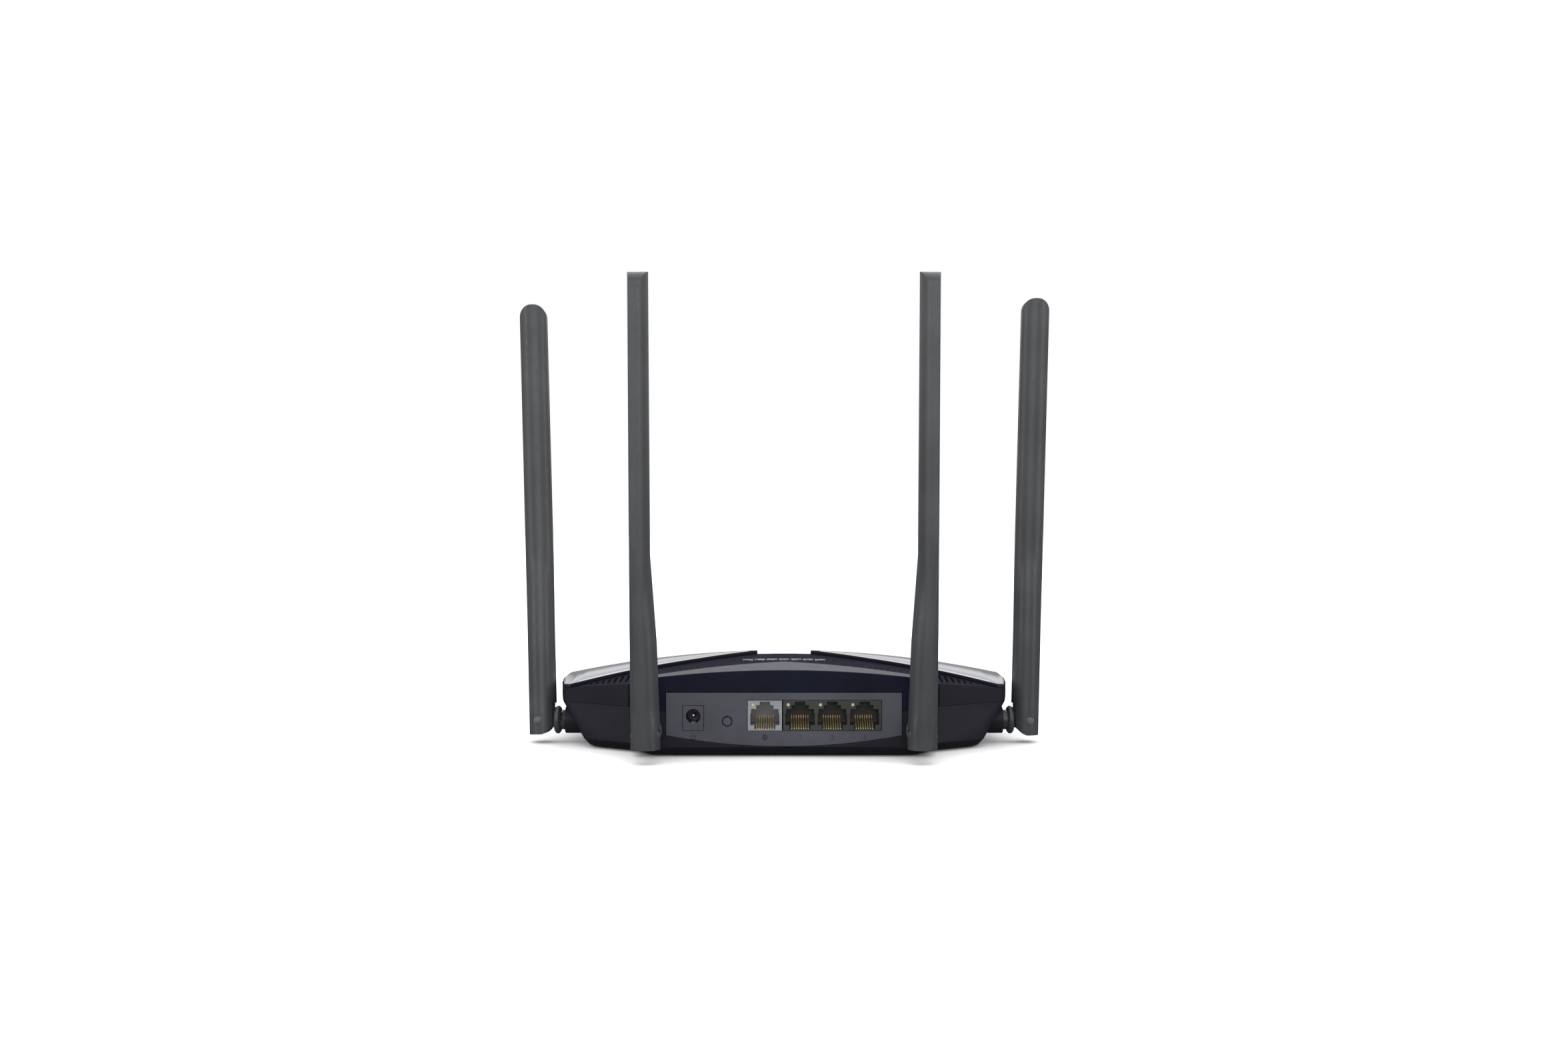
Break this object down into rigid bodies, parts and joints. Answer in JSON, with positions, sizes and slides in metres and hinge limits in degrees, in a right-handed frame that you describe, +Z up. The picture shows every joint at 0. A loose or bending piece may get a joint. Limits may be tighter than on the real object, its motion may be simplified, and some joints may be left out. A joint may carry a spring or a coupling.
{
  "type": "wireless router",
  "caption": "Free-standing wireless router with a low faceted casing, glossy wing panels, a rear socket panel and fold-up swivel antennas.",
  "frame": {"origin": "on the desk, on the casing's middle plane, under the middle of the whole router with its antennas up to within 1.5 mm: the left side antenna leans out slightly more than the right one", "axes": "+Z up, -Y towards the socket side, +Y towards the front edge, +X to the right when facing the sockets"},
  "size_m": [0.2474, 0.1718, 0.2072],
  "materials": {
    "casing_matte": "fine matte texture",
    "casing_gloss": "polished gloss",
    "port_panel": "satin",
    "antenna_plastic": "satin fine grain",
    "pin_plastic": "satin",
    "wan_shell": "satin",
    "lan_shell": "satin",
    "contact_gold": "gold plated",
    "light_lens": "frosted",
    "silver_trim": "satin silver",
    "rubber": "matte",
    "steel": "nickel plated",
    "board_green": "solder mask",
    "heat_sink": "extruded",
    "thermal_pad": "soft",
    "chip_black": "moulded epoxy",
    "capacitor": "sleeved can",
    "coax": "jacket"
  },
  "bodies": {
    "chassis": {"antenna_connectors": "contact_gold", "board_screws": "steel", "bottom_cover": "casing_matte", "case_screws": "steel", "electrolytic_capacitors": "capacitor", "heat_sink": "heat_sink", "lan_jack_contacts": "contact_gold", "lan_jack_housing": "lan_shell", "left_wing_panel": "casing_gloss", "main_board": "board_green", "memory_chip": "chip_black", "network_transformers": "chip_black", "port_lights": "light_lens", "power_inductors": "chip_black", "power_inlet_body": "port_panel", "power_inlet_pin": "steel", "power_inlet_spring": "steel", "processor_chip": "chip_black", "radio_chips": "chip_black", "radio_shields": "steel", "rear_left_antenna_lead": "coax", "rear_left_antenna_socket": "casing_matte", "rear_port_panel": "port_panel", "rear_right_antenna_lead": "coax", "rear_right_antenna_socket": "casing_matte", "reset_switch": "chip_black", "right_wing_panel": "casing_gloss", "rubber_feet": "rubber", "side_left_antenna_lead": "coax", "side_left_antenna_socket": "casing_matte", "side_right_antenna_lead": "coax", "side_right_antenna_socket": "casing_matte", "silver_trim": "silver_trim", "status_lamps": "light_lens", "status_light_pipe": "light_lens", "thermal_pad": "thermal_pad", "top_cover": "casing_matte", "wan_jack_contacts": "contact_gold", "wan_jack_housing": "wan_shell"},
    "rear_left_hub": {"rear_left_antenna_hub": "antenna_plastic"},
    "rear_left_blade": {"rear_left_antenna_blade_front": "antenna_plastic", "rear_left_antenna_blade_back": "antenna_plastic", "rear_left_antenna_hinge_pin": "pin_plastic", "rear_left_antenna_element": "board_green"},
    "rear_right_hub": {"rear_right_antenna_hub": "antenna_plastic"},
    "rear_right_blade": {"rear_right_antenna_blade_front": "antenna_plastic", "rear_right_antenna_blade_back": "antenna_plastic", "rear_right_antenna_hinge_pin": "pin_plastic", "rear_right_antenna_element": "board_green"},
    "side_left_hub": {"side_left_antenna_hub": "antenna_plastic"},
    "side_left_blade": {"side_left_antenna_blade_front": "antenna_plastic", "side_left_antenna_blade_back": "antenna_plastic", "side_left_antenna_hinge_pin": "pin_plastic", "side_left_antenna_element": "board_green"},
    "side_right_hub": {"side_right_antenna_hub": "antenna_plastic"},
    "side_right_blade": {"side_right_antenna_blade_front": "antenna_plastic", "side_right_antenna_blade_back": "antenna_plastic", "side_right_antenna_hinge_pin": "pin_plastic", "side_right_antenna_element": "board_green"},
    "reset_button": {"reset_button_cap": "port_panel"}
  },
  "joints": [
    {"name": "rear_left_swivel", "type": "hinge", "parent": "chassis", "child": "rear_left_hub", "pos_m": [-0.0584, -0.0812, 0.0128], "axis": [0, 1, 0], "range_deg": [-89.65, 30]},
    {"name": "rear_left_fold", "type": "hinge", "parent": "rear_left_hub", "child": "rear_left_blade", "pos_m": [-0.0584, -0.0812, 0.0128], "axis": [1, 0, 0.0061], "range_deg": [0, 90]},
    {"name": "side_left_swivel", "type": "hinge", "parent": "chassis", "child": "side_left_hub", "pos_m": [-0.1129, -0.0167, 0.0103], "axis": [1, 0, 0], "range_deg": [-85, 95]},
    {"name": "side_left_fold", "type": "hinge", "parent": "side_left_hub", "child": "side_left_blade", "pos_m": [-0.1129, -0.0167, 0.0103], "axis": [0, -0.9962, 0.0872], "range_deg": [-2.2, 87.8]},
    {"name": "rear_right_swivel", "type": "hinge", "parent": "chassis", "child": "rear_right_hub", "pos_m": [0.0584, -0.0812, 0.0128], "axis": [0, -1, 0], "range_deg": [-89.65, 30]},
    {"name": "rear_right_fold", "type": "hinge", "parent": "rear_right_hub", "child": "rear_right_blade", "pos_m": [0.0584, -0.0812, 0.0128], "axis": [1, 0, -0.0061], "range_deg": [0, 90]},
    {"name": "side_right_swivel", "type": "hinge", "parent": "chassis", "child": "side_right_hub", "pos_m": [0.1129, -0.0167, 0.0103], "axis": [1, 0, 0], "range_deg": [-90, 90]},
    {"name": "side_right_fold", "type": "hinge", "parent": "side_right_hub", "child": "side_right_blade", "pos_m": [0.1129, -0.0167, 0.0103], "axis": [0, 1, 0], "range_deg": [-1.5, 88.5]},
    {"name": "reset_press", "type": "slide", "parent": "chassis", "child": "reset_button", "axis": [0, 1, 0], "range_m": [0, 0.0006], "stiffness_N_per_m": 400, "springref_m": -0.0005}
  ]
}
